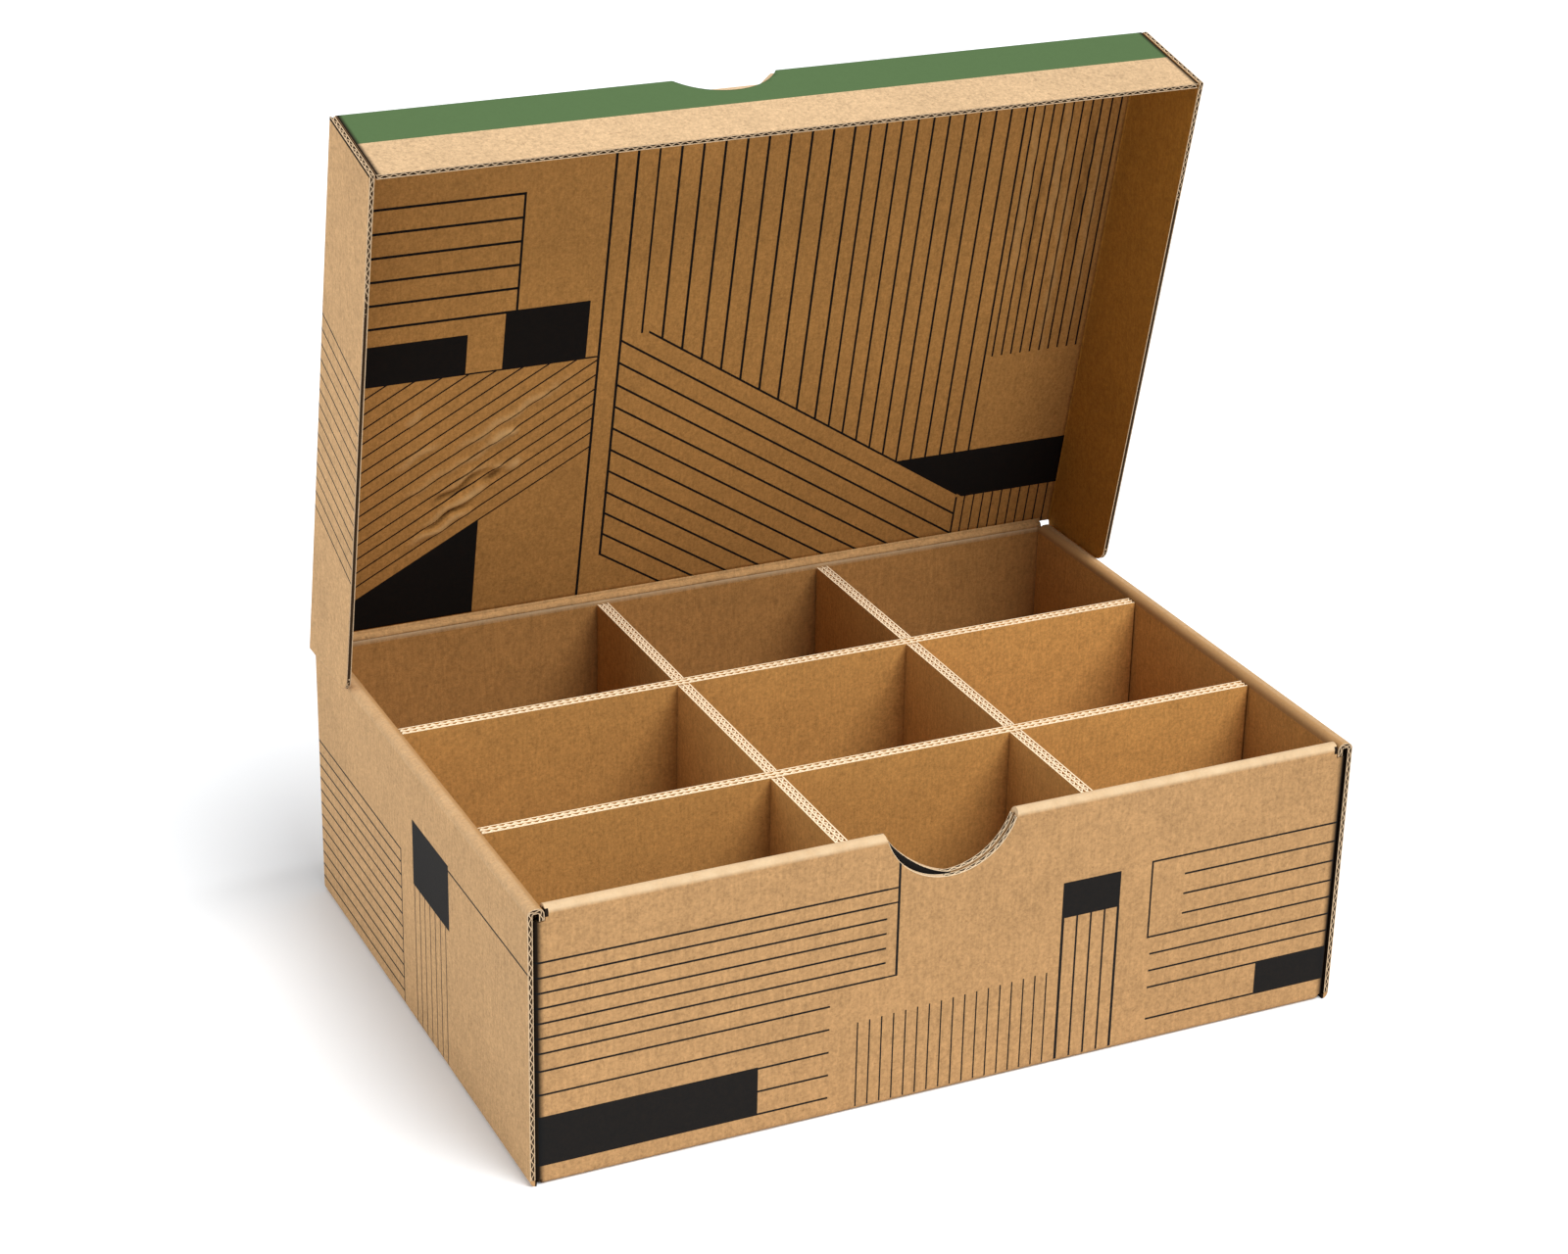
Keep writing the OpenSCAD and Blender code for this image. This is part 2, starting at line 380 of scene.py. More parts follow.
def times(tree, first, *others):
    """The product of values. Of masks, it is where all of them are 1."""
    for value in others:
        first = math_node(tree, "MULTIPLY", first, value)
    return first


def scaled(tree, vector, factor):
    inputs = {0: vector, "Scale": factor}
    return add_node(tree, "ShaderNodeVectorMath", inputs, operation="SCALE").outputs[0]


def split_xyz(tree, vector):
    return list(add_node(tree, "ShaderNodeSeparateXYZ", {0: vector}).outputs)


def noise(tree, vector, scale, detail=3.0, roughness=0.55):
    inputs = {"Vector": vector, "Scale": scale, "Detail": detail, "Roughness": roughness}
    return add_node(tree, "ShaderNodeTexNoise", inputs).outputs["Fac"]


def stretch(tree, vector, scale):
    return add_node(tree, "ShaderNodeMapping", {"Vector": vector, "Scale": scale}).outputs["Vector"]


def mix(tree, share, a, b):
    """Colour a where share is 0 and b where it is 1."""
    a, b = (value if isinstance(value, bpy.types.NodeSocket) else (*value, 1) for value in (a, b))
    inputs = {"Factor": share, "A": a, "B": b}
    return add_node(tree, "ShaderNodeMix", inputs, data_type="RGBA").outputs["Result"]


def ramp(tree, value, low, high):
    """Maps low to high onto 0 to 1, and stays there outside."""
    inputs = {"Value": value, "From Min": low, "From Max": high}
    return add_node(tree, "ShaderNodeMapRange", inputs).outputs["Result"]


def start_material(name):
    """A material with its tree, its shader and Object coordinates."""
    mat = bpy.data.materials.new(name)
    mat.use_nodes = True
    tree = mat.node_tree
    shader = tree.nodes["Principled BSDF"]
    shader.inputs["Roughness"].default_value = 0.86
    shader.inputs["Specular IOR Level"].default_value = 0.1
    return mat, tree, shader, tree.nodes.new("ShaderNodeTexCoord").outputs["Object"]


def kraft_colour(tree, place, base):
    """The cloudy, speckled brown of kraft liner over a base colour, and its grain."""
    cloud = noise(tree, place, 38, 3)
    mottle = noise(tree, place, 260, 6, 0.8)
    grain = noise(tree, place, 750, 4, 0.85)
    fibre = noise(tree, stretch(tree, place, (1, 1, 0.12)), 1100, 2)
    shade = math_node(tree, "MULTIPLY_ADD", cloud, 0.24, 0.88)
    for part, share in ((mottle, 0.5), (grain, 1.3), (fibre, 0.4)):
        shade = math_node(tree, "MULTIPLY_ADD", math_node(tree, "SUBTRACT", part, 0.5), share, shade)
    # single dark fibres lie in the paper
    fleck = ramp(tree, noise(tree, stretch(tree, place, (0.5, 0.5, 1)), 1500, 1), 0.34, 0.24)
    colour = mix(tree, times(tree, fleck, 0.35), scaled(tree, base, shade), FIBRE)
    return colour, math_node(tree, "MULTIPLY_ADD", mottle, 0.6, grain)


def paper_bump(tree, shader, height, strength=0.25, distance=0.0002):
    inputs = {"Strength": strength, "Distance": distance, "Height": height}
    link(tree, add_node(tree, "ShaderNodeBump", inputs).outputs["Normal"], shader.inputs["Normal"])


def plain_kraft(name, base, right_end=1.0):
    """Unprinted kraft, whose colour is right_end times the base at the box's right end."""
    mat, tree, shader, place = start_material(name)
    if right_end != 1.0:
        towards_right = ramp(tree, split_xyz(tree, place)[0], -0.04, 0.1)
        base = mix(tree, towards_right, base, [c * right_end for c in base])
    colour, grain = kraft_colour(tree, place, base)
    link(tree, colour, shader.inputs["Base Color"])
    paper_bump(tree, shader, grain)
    return mat


kraft_crease = plain_kraft("kraft_crease", (0.46, 0.265, 0.112))
kraft_cross = plain_kraft("kraft_cross", KRAFT_INSIDE)
# the lengthwise dividers are paler where the light reaches them
kraft_lengthwise = plain_kraft("kraft_lengthwise", KRAFT_INSIDE, 1.3)


# %% [markdown]
# ## Cut edges
# Where the board is cut, its paper is paler and rough, and between the liners lies shade, which is painted dark. So
# there are two kinds of material here: edge for the papers' own edges, and hollow, mostly painted shade,
# for what lies between them. The lengthwise dividers' hollows are painted darker than the crosswise ones,
# as in the photograph.

# %% Cut edge materials
def cut_paper(name, pale, dark):
    """The torn, pale edge of a paper, or the colour in the hollow between a cut edge's papers, which is painted shade
    where it is dark.
    """
    mat, tree, shader, place = start_material(name)
    fuzz = noise(tree, place, 2600, 2, 0.7)
    link(tree, mix(tree, ramp(tree, fuzz, 0.3, 0.7), dark, pale), shader.inputs["Base Color"])
    paper_bump(tree, shader, fuzz, 0.5)
    return mat


edge_box = cut_paper("edge_box", (0.68, 0.51, 0.33), (0.44, 0.29, 0.165))
edge_notch = cut_paper("edge_notch", (0.86, 0.70, 0.49), (0.62, 0.45, 0.27))
edge_divider = cut_paper("edge_divider", (0.95, 0.80, 0.58), (0.78, 0.60, 0.39))
# the hollows of the box's edges and of the lengthwise dividers are painted shade
hollow_box_shade = cut_paper("hollow_box_shade", (0.05, 0.028, 0.013), (0.02, 0.011, 0.005))
hollow_divider_shade = cut_paper("hollow_divider_shade", (0.34, 0.20, 0.10), (0.13, 0.07, 0.03))
hollow_cross = cut_paper("hollow_cross", (0.86, 0.68, 0.47), (0.50, 0.34, 0.19))
print("materials:", len(bpy.data.materials))


# %% [markdown]
# ## Printed lines
# The print is plain geometry: fields of parallel lines and solid blocks. It could be an image, but
# maths keeps each line sharp at any distance. A field compares a coordinate with the nearest line of
# a row of lines, and a block compares two coordinates with its sides.

# %% Helpers for the print
class Print:
    """Collects printed shapes over two coordinates, in millimetres, as one mask."""

    def __init__(self, tree, u, v):
        self.tree, self.u, self.v, self.mask = tree, u, v, 0.0

    def band(self, value, low, high):
        return math_node(self.tree, "COMPARE", value, (low + high) / 2, (high - low) / 2)

    def slanted(self, slope):
        """v + slope * u: constant along lines that fall by slope."""
        return math_node(self.tree, "MULTIPLY_ADD", self.u, slope, self.v)

    def add(self, *parts):
        """Adds the shape that lies in all the parts."""
        shape = times(self.tree, *parts)
        self.mask = shape if self.mask == 0.0 else math_node(self.tree, "MAXIMUM", self.mask, shape)

    def block(self, u0, u1, v0, v1):
        self.add(self.band(self.u, u0, u1), self.band(self.v, v0, v1))

    def rows(self, value, first, pitch, count, width):
        """1 on each of count lines of that width, first the lowest."""
        step = math_node(self.tree, "MULTIPLY_ADD", value, 1 / pitch, -first / pitch)
        line = math_node(self.tree, "ROUND", step)
        line = math_node(self.tree, "MINIMUM", math_node(self.tree, "MAXIMUM", line, 0), count - 1)
        return math_node(self.tree, "COMPARE", step, line, width / 2 / pitch)

    def across(self, first, pitch, count, u0, u1, width=0.72):
        """Lines of constant v, between u0 and u1."""
        self.add(self.rows(self.v, first, pitch, count, width), self.band(self.u, u0, u1))

    def upright(self, first, pitch, count, v0, v1, width=0.58):
        """Lines of constant u, between v0 and v1."""
        self.add(self.rows(self.u, first, pitch, count, width), self.band(self.v, v0, v1))


def axes_mm(tree, vector):
    """x, y and z of a vector in metres, as millimetres."""
    return [math_node(tree, "MULTIPLY", part, 1 / MM) for part in split_xyz(tree, vector)]


def below(tree, a, b):
    return math_node(tree, "LESS_THAN", a, b)


def above(tree, a, b):
    return math_node(tree, "GREATER_THAN", a, b)


def inked(tree, shader, colour, mask, grain):
    """Ink over paper: dark, a little smoother, and thin where the grain stands up."""
    cover = times(tree, mask, math_node(tree, "MULTIPLY_ADD", grain, -0.012, 1.0))
    link(tree, mix(tree, cover, colour, INK), shader.inputs["Base Color"])
    link(tree, math_node(tree, "MULTIPLY_ADD", mask, -0.12, 0.86), shader.inputs["Roughness"])


# %% [markdown]
# ## The tray's paper
# The tray keeps its CAD shape. One material covers it: kraft everywhere, with print on the outside
# of the front and the side walls, where the position says that a point lies on the outer face. The
# front's lines wrap round its folded sides, because they depend on the height only.

# %% Tray material
def front_print(tree, x, z):
    p = Print(tree, x, z)
    # rows of level lines, and single ones
    for rows in ((48.3, 5.42, 7, -160, -25.8), (7.4, 8.62, 5, -160, -45.4), (47.6, 7.6, 3, 86.3, 160),
                 (21.3, 6.55, 3, 74.6, 160), (70.0, 10, 1, 73.2, 160), (41.1, 10, 1, 73.2, 160),
                 (8.9, 10, 1, 74.8, 160)):
        p.across(*rows)
    # the ends of rows and the sides of frames, then the dark blocks
    for block in ((-26, -21.3, 80.5, 81.1), (-26, -21.3, 75.1, 75.7), (-26, -21.3, 48.0, 48.6),
                  (-22.2, -21.3, 48.0, 90), (39.4, 40.4, -1, 56), (60.5, 61.5, -1, 56),
                  (73.1, 73.8, 40.8, 70.3), (-146.4, -70.7, 7.3, 25.2), (39.4, 61.4, 55.7, 69.1),
                  (118, 146.4, 8.8, 21.5)):
        p.block(*block)
    p.add(p.rows(x, -35.2, 4.38, 17, 0.52),
          below(tree, z, math_node(tree, "MULTIPLY_ADD", x, 0.037, 34.9)))
    p.upright(40.1, 5.25, 5, -1, 56, 0.72)
    return p.mask


def side_print(tree, y, z):
    p = Print(tree, y, z)
    p.across(1.2, 5.04, 13, 15.0, 120)
    p.block(14.7, 15.4, 0, 62)
    p.block(-33, 2.4, 54.7, 79.2)
    p.upright(-29.2, 5.1, 7, -1, 54.8)
    p.across(77.4, 10, 1, -120, -33)
    return p.mask


def tray_material():
    mat, tree, shader, place = start_material("tray_paper")
    x, y, z = axes_mm(tree, place)
    across_x = math_node(tree, "ABSOLUTE", x)
    front, roll_foot = -BOX_D / 2, 97
    on_side = above(tree, across_x, BOX_W / 2 - 0.12)
    inside = times(tree, below(tree, across_x, SIDE_IN + 0.1), above(tree, y, FRONT_IN - 0.1),
                   below(tree, y, BACK_IN + 0.1), below(tree, z, roll_foot))
    on_back = times(tree, inside, above(tree, y, BACK_IN - 0.1))
    # the outer side walls take a paler paper as painted sheen
    base = mix(tree, inside, mix(tree, on_side, KRAFT, KRAFT_SIDE_SHEEN), KRAFT_INSIDE)
    # the back wall's inner face takes a darker paper as painted shade
    colour, grain = kraft_colour(tree, place, mix(tree, on_back, base, KRAFT_BACK_SHADE))
    # the folds are painted pale, as rubbed paper and as a painted highlight, the front lip more than the side rolls,
    # whose inner half gets painted shade
    on_roll = above(tree, across_x, SIDE_IN - 0.2)
    rim = times(tree, ramp(tree, z, BOX_H - 2.6, BOX_H - 1.2),
                math_node(tree, "MULTIPLY_ADD", noise(tree, place, 160), 0.5, 0.25),
                math_node(tree, "MULTIPLY_ADD", on_roll, -0.9, 1.35))
    colour = mix(tree, math_node(tree, "MINIMUM", rim, 1.0), colour, RUBBED_FOLD_HIGHLIGHT)
    inner_half = times(tree, ramp(tree, across_x, 146.6, 145.6), above(tree, z, roll_foot), on_roll, 0.75)
    colour = mix(tree, inner_half, colour, SHADED_FOLD)
    # the front's print wraps round its folded sides
    fold = times(tree, above(tree, across_x, 145.3), below(tree, y, front + 2.15))
    on_front = math_node(tree, "MAXIMUM", below(tree, y, front + 0.12), fold)
    on_front = times(tree, on_front, below(tree, across_x, 147.6))
    mask = math_node(tree, "MAXIMUM", times(tree, on_front, front_print(tree, x, z)),
                     times(tree, on_side, side_print(tree, y, z)))
    # the front of the inner layer is printed too, and shows beside the thumb notch
    crescent = Print(tree, x, y)
    crescent.block(-30, -1.9, -102.3, -101.9)
    mask = math_node(tree, "MAXIMUM", mask, times(tree, crescent.mask, above(tree, z, 60)))
    # the groove beside the front fold and the rolls' open ends get painted shade
    groove = times(tree, ramp(tree, across_x, 144.3, 146.3), below(tree, across_x, 147.85),
                   below(tree, y, front + 3.2), below(tree, z, 95.3))
    ends = Print(tree, across_x, z)
    ends.block(145.5, 147.85, 95.2, 98.5)
    ends.block(142.5, 143.62, 96.6, 99.2)
    dark = math_node(tree, "MAXIMUM", groove, times(tree, ends.mask, below(tree, y, front + 2.6)))
    inked(tree, shader, mix(tree, dark, colour, DARK_GROOVE), mask, grain)
    paper_bump(tree, shader, grain)
    return mat


tray_paper = tray_material()
nodes["tray"].data.materials.clear()
nodes["tray"].data.materials.append(tray_paper)
print("tray material nodes:", len(tray_paper.node_tree.nodes))


# %% [markdown]
# ## The lid's paper
# The lid's outside carries a green band along its front crease and slanted lines on its side flanges.
# Its inside carries the largest fields. Both read the lid's own UV map, which holds the flat blank in
# millimetres: u across the box, v from the hinge. So lines stay straight over each crease.

# %% Lid materials
def uv_axes(tree, name):
    """The two values that a UV map holds."""
    return split_xyz(tree, add_node(tree, "ShaderNodeUVMap", uv_map=name).outputs["UV"])[:2]


def lid_inside_material():
    mat, tree, shader, place = start_material("lid_inside_paper")
    shader.inputs["Specular IOR Level"].default_value = 0.03
    u, v = uv_axes(tree, "blank")
    on_flange = above(tree, math_node(tree, "ABSOLUTE", u), SEAM)
    # the flanges' inner faces take a darker paper as painted shade
    base = mix(tree, on_flange, KRAFT_LID_INSIDE, KRAFT_FLANGE_INSIDE_SHADE)
    colour, grain = kraft_colour(tree, place, base)
    p = Print(tree, u, v)
    left, top = -150.0, 209.0
    # the frame of lines and the two blocks at the upper left
    p.across(128.8, 9.16, 6, left, -81.3, 1.0)
    p.block(-82.1, -81.2, 128.8, 175.1)
    p.block(left, -99.0, 105.6, 121.8)
    p.block(-85.6, -54.4, 106.0, 129.2)
    p.across(105.8, 10, 1, -99, -49.5, 0.65)
    # the two long uprights
    p.block(-50.0, -49.0, 1, top)
    p.block(-42.1, -41.1, 19.2, top)
    # lines rising to the right, over a dark corner
    slope = 0.605
    rising, lowest = p.slanted(-slope), 17.5 + slope * 133.4
    p.add(p.rows(rising, lowest, 6.05, 40, 0.68), p.band(u, left, -49.5), below(tree, v, 105.7))
    p.add(p.band(u, left, -90.4), below(tree, rising, lowest), above(tree, v, 3))
    # lines falling to the right, and the uprights that end on the highest of them
    slope, pitch = 0.675, 9.15
    falling, first = p.slanted(slope), 110.8 + slope * -41
    p.add(p.rows(falling, first - 10 * pitch, pitch, 11, 1.0), p.band(u, -41.6, 106), above(tree, v, 1))
    p.add(p.rows(falling, first + pitch, pitch, 1, 1.0), p.band(u, -31, 105.8))
    over = above(tree, falling, first + pitch)
    p.add(p.rows(u, -25.6, 8.17, 9, 0.95), over)
    p.block(-34.1, -33.3, 113, top)
    p.add(p.rows(u, 45.9, 6.18, 11, 0.85), over, above(tree, v, 40))
    # the dark band at the lower right, with short lines under it and dense ones above it
    p.add(p.band(v, 19.3, 40.6), over, above(tree, u, 70))
    p.block(105.5, 106.3, 1, 19.4)
    p.upright(109.6, 4.04, 10, 1, 19.4, 0.6)
    p.upright(110.9, 3.96, 10, 81.8, top, 0.72)
    # ridges are painted pale, as rubbed paper and as a painted highlight, and grooves get painted shade; ink is thin
    # on a ridge
    height = uv_axes(tree, "worn")[0]
    ridge, dip = ramp(tree, height, 0.1, 0.9), ramp(tree, height, -0.1, -0.8)
    colour = mix(tree, times(tree, ridge, 0.5), colour, RUBBED_RIDGE_HIGHLIGHT)
    colour = mix(tree, times(tree, dip, 0.75), colour, DARK_CREASE)
    mask = times(tree, p.mask, math_node(tree, "MULTIPLY_ADD", ridge, -0.35, 1.0),
                 p.band(u, left, -left), below(tree, v, top))
    inked(tree, shader, colour, mask, grain)
    paper_bump(tree, shader, grain)
    return mat


def lid_outside_material():
    mat, tree, shader, place = start_material("lid_outside_paper")
    u, v = uv_axes(tree, "blank")
    from_middle = math_node(tree, "ABSOLUTE", u)
    # the side flanges' outside takes a paler paper as painted sheen
    on_sides = above(tree, from_middle, LID_HALF - 1.2)
    # the front flange's outside takes a paler paper as painted light
    on_flange = above(tree, v, LID_LEN)
    base = mix(tree, on_flange, mix(tree, on_sides, KRAFT, KRAFT_SIDE_SHEEN), KRAFT_FLANGE_LIT)
    colour, grain = kraft_colour(tree, place, base)
    from_crease = math_node(tree, "ABSOLUTE", math_node(tree, "SUBTRACT", v, LID_LEN))
    green = times(tree, below(tree, from_crease, 20.4), math_node(tree, "SUBTRACT", 1.0, on_sides))
    greens = mix(tree, grain, [c * 0.92 for c in GREEN], [c * 1.08 for c in GREEN])
    colour = mix(tree, green, colour, greens)
    # the cut between the front flange and its neighbours lies in shade
    cut = times(tree, ramp(tree, from_middle, SEAM - 1.9, SEAM - 0.5), above(tree, v, LID_LEN - 1.0))
    colour = mix(tree, cut, colour, DARK_CUT)
    p = Print(tree, from_middle, v)
    slope = 0.15
    p.add(p.rows(p.slanted(slope), 54.8 + slope * 193, 5.95, 14, 0.7), on_sides)
    inked(tree, shader, colour, p.mask, grain)
    paper_bump(tree, shader, grain)
    return mat


lid_inside = lid_inside_material()
lid_outside = lid_outside_material()
print("lid material nodes:", len(lid_inside.node_tree.nodes), len(lid_outside.node_tree.nodes))


# %% [markdown]
# ## Bent board
# A sheet of board has an outer face, an inner face and a cut edge all round. It could be a flat box,
# but the real one is folded and has hollow edges. Here both faces are grids of points that follow the
# fold, and the edge is a channel between two papers, a little more than half a millimetre deep.

# %% Helper for a sheet of board
# the thickness of the papers beside the channel, and its depth
LIP = 0.32
SUNK = 0.6


def board_sheet(name, outer, inner, flat, worn, materials):
    """outer and inner are grids of points, flat the blank's u and v, worn the wrinkles' height in mm.
    Materials: outer face, inner face, edge, hollow."""
    rows, cols = outer.shape[:2]
    points = [outer.reshape(-1, 3), inner.reshape(-1, 3)]
    uv = [flat.reshape(-1, 2)] * 2
    count = rows * cols
    faces, kinds = [], []
    for i in range(rows - 1):
        for j in range(cols - 1):
            a, b, c, d = i * cols + j, i * cols + j + 1, (i + 1) * cols + j + 1, (i + 1) * cols + j
            faces.append((a, b, c, d))
            faces.append((a + count, d + count, c + count, b + count))
            kinds += [0, 1]
    ring = [(0, j) for j in range(cols)] + [(i, cols - 1) for i in range(1, rows)]
    ring += [(rows - 1, j) for j in range(cols - 2, -1, -1)] + [(i, 0) for i in range(rows - 2, 0, -1)]
    edge_rows = [[], [], [], []]
    for i, j in ring:
        o, n = outer[i, j], inner[i, j]
        way = np.zeros(3)
        if i in (0, rows - 1):
            way += unit(outer[1 if i == 0 else rows - 2, j] - o)
        if j in (0, cols - 1):
            way += unit(outer[i, 1 if j == 0 else cols - 2] - o)
        lip = LIP * unit(n - o)
        edge_rows[0].append(o + lip)
        edge_rows[1].append(o + lip + way * SUNK)
        edge_rows[2].append(n - lip + way * SUNK)
        edge_rows[3].append(n - lip)
    ring_uv = np.array([flat[i, j] for i, j in ring])
    for row in edge_rows:
        points.append(np.array(row))
        uv.append(ring_uv)
    length = len(ring)
    ids = [[i * cols + j for i, j in ring]]
    ids += [[2 * count + k * length + m for m in range(length)] for k in range(4)]
    ids += [[count + i * cols + j for i, j in ring]]
    for k in range(5):
        for m in range(length):
            after = (m + 1) % length
            faces.append((ids[k][m], ids[k + 1][m], ids[k + 1][after], ids[k][after]))
            kinds.append(2 if k in (0, 4) else 3)
    obj = new_mesh(name, np.concatenate(points), faces, materials, kinds, np.concatenate(uv))
    height = np.concatenate([worn.ravel(), worn.ravel(), np.zeros(4 * length)])
    add_uv(obj.data, "worn", np.stack([height, np.zeros(len(height))], axis=1))
    return obj


# %% [markdown]
# ## Wrinkles
# The lid's liner is creased by handling: a few short folds run up to the right on the left side, and
# long faint ones run down the right side. They could be bump alone, but they catch the light, so they
# are real shape. Each is a ridge with a round top, given by its middle, direction, length, width and
# height. A negative height makes a groove.

# %% Wrinkles
WRINKLES = [
    (-80.3, 86.8, 31, 24, 1.5, 0.55), (-82.9, 78.5, 25, 5, 1.6, 0.8), (-81.0, 65.6, 20, 5, 1.7, 0.9),
    (-84.5, 63.0, 27, 6, 1.2, -0.8), (-98.7, 59.0, 32, 11, 1.3, -0.8), (-97.0, 62.0, 32, 11, 1.5, 0.6),
    (-102.6, 47.2, 33, 11, 1.3, -0.8), (-101.4, 50.4, 32, 12, 1.5, 0.65), (-105.0, 43.0, 27, 12, 1.5, 0.7),
    (-115.0, 74.7, 30, 9, 1.4, 0.5), (-117.0, 90.6, 35, 4, 1.5, 0.5), (-93.0, 55.5, 33, 7, 1.3, 0.5),
    (-92.0, 72.5, 30, 12, 1.6, 0.4), (-110.0, 63.0, 31, 10, 1.5, 0.35),
    (113.0, 150, 90, 40, 1.9, 0.30), (119.0, 132, 90, 34, 1.7, -0.34), (125.0, 160, 90, 30, 1.8, 0.36),
    (131.0, 120, 90, 42, 1.9, 0.32), (137.0, 150, 90, 36, 1.8, -0.34), (142.0, 130, 90, 45, 1.7, 0.30),
]


def wrinkle_height(x, s):
    """How far the inner liner stands out at a place on the panel."""
    high = np.zeros_like(x)
    for x0, s0, angle, reach, width, height in WRINKLES:
        a = math.radians(angle)
        along = (x - x0) * math.cos(a) + (s - s0) * math.sin(a)
        aside = -(x - x0) * math.sin(a) + (s - s0) * math.cos(a)
        # a fold wavers a little on its way
        aside = aside + 0.5 * width * np.sin(along * 0.45 + x0)
        high += 1.35 * height * np.exp(-(along / reach) ** 4 - (aside / width) ** 2)
    return high


# %% [markdown]
# ## The lid
# The lid is one panel with a front flange and two side flanges, folded down along rounded creases.
# It is made of three sheets: the panel with its front flange, and each side flange with its crease.
# Neighbouring sheets share the line where they meet, and the cut between the flanges is painted. The
# side flanges' near ends slope and end in a round corner, so each row of points stops where that
# outline says. The wrinkles show a little on the outer face too.

# %% Build the lid
# distance between a flange's rows of points, and the height and inner radius of the folds
STEP = 1.5
ARC_Z = LID_TOP - FOLD_R
SMALL_R = FOLD_R - BOARD
SHOW_THROUGH = 0.3


def lid_profile(far, low):
    """The fold from the panel to a flange whose outer face is at far, and on down to low, as rows of
    (outer point, inner point, length along the blank)."""
    flat_end = far - FOLD_R
    rows = []
    for a in np.linspace(0, math.pi / 2, 9):
        outer, inner = ((flat_end + r * math.sin(a), ARC_Z + r * math.cos(a)) for r in (FOLD_R, SMALL_R))
        rows.append((outer, inner, flat_end + FOLD_R * a))
    bend = flat_end + FOLD_R * math.pi / 2
    count = int((ARC_Z - low) / STEP)
    depths = np.linspace(0, ARC_Z - low, count + 1)[1:]
    rows += [((far, ARC_Z - d), (far - BOARD, ARC_Z - d), bend + d) for d in depths]
    return rows


def panel_sheet():
    # the grid is finer where the wrinkles are
    along = np.concatenate([np.linspace(LID_NEAR, 34, 12), np.linspace(35, 100, 66),
                            np.linspace(102, LID_LEN - FOLD_R, 44)[:-1]])
    rows = [((s, LID_TOP), (s, LID_NEAR), s) for s in along] + lid_profile(LID_LEN, LID_LOW)
    xs = np.concatenate([np.linspace(-SEAM, -124, 12), np.linspace(-123, -68, 56),
                         np.linspace(-65, 105, 44), np.linspace(106, SEAM, 36)])
    outer = np.array([[(x, -o[0], o[1]) for x in xs] for o, n, v in rows])
    inner = np.array([[(x, -n[0], n[1]) for x in xs] for o, n, v in rows])
    flat = np.array([[(x, v) for x in xs] for o, n, v in rows])
    on_panel = np.array([v < LID_LEN - FOLD_R for o, n, v in rows])[:, None]
    high = np.where(on_panel, wrinkle_height(inner[..., 0], -inner[..., 1]), 0)
    inner[..., 2] -= high
    outer[..., 2] -= SHOW_THROUGH * high
    # grids run so that the outer face points out
    return outer[:, ::-1], inner[:, ::-1], flat[:, ::-1], high[:, ::-1]


def near_end(z):
    """Where a side flange ends, towards the hinge, at height z."""
    if z >= LID_NEAR:
        share = max(0.0, min(1.0, (LID_TOP - z) / (LID_TOP - LID_NEAR)))
        return LID_NEAR + (FLANGE_START - LID_NEAR) * share
    low_end = FLANGE_START + (LID_NEAR - LID_LOW) * FLANGE_SLOPE
    centre = low_end - FLANGE_R * (FLANGE_SLOPE - 1 / math.cos(FLANGE_TILT))
    centre_z = LID_LOW + FLANGE_R
    if z < centre_z - FLANGE_R * math.sin(FLANGE_TILT):
        return centre - math.sqrt(max(FLANGE_R ** 2 - (z - centre_z) ** 2, 0))
    return FLANGE_START + (LID_NEAR - z) * FLANGE_SLOPE


def flange_sheet(side):
    rows = lid_profile(LID_HALF, LID_LOW)
    last = rows[-1]
    # the lowest rows lie closer together, because they follow the round corner
    corner = 3
    rows = [row for row in rows if row[0][1] > LID_LOW + corner]
    for t in np.linspace(0, 1, 12)[1:-1]:
        z = LID_LOW + corner * (1 - t) ** 2
        rows.append(((LID_HALF, z), (LID_HALF - BOARD, z), last[2] - (z - LID_LOW)))
    rows.append(last)
    outer, inner, flat = [], [], []
    for o, n, v in rows:
        drop = min(max(o[1] - ARC_Z, 0), FOLD_R)
        end = LID_LEN - FOLD_R + math.sqrt(FOLD_R ** 2 - drop ** 2)
        ys = np.linspace(near_end(o[1]), end, 141)
        outer.append([(side * o[0], -y, o[1]) for y in ys])
        inner.append([(side * n[0], -y, n[1]) for y in ys])
        flat.append([(side * v, y) for y in ys])
    outer, inner, flat = np.array(outer), np.array(inner), np.array(flat)
    if side < 0:
        outer, inner, flat = outer[:, ::-1], inner[:, ::-1], flat[:, ::-1]
    return outer, inner, flat, np.zeros(flat.shape[:2])


lid_parts = []
lid_papers = [lid_outside, lid_inside, edge_box, hollow_box_shade]
for part_name, grids in (("lid_panel", panel_sheet()), ("lid_flange_left", flange_sheet(-1)),
                         ("lid_flange_right", flange_sheet(1))):
    outer, inner, flat, worn = grids
    sheet = board_sheet(part_name, lid_to_row(outer), lid_to_row(inner), flat, worn, lid_papers)
    lid_parts.append(sheet)
    print(part_name, len(sheet.data.polygons), "faces")

# %% Cut the lid's thumb notch
NOTCH_X, NOTCH_W, NOTCH_DEEP = -13.0, 40.0, 12.0
NOTCH_R = (NOTCH_W ** 2 / 4 + NOTCH_DEEP ** 2) / (2 * NOTCH_DEEP)


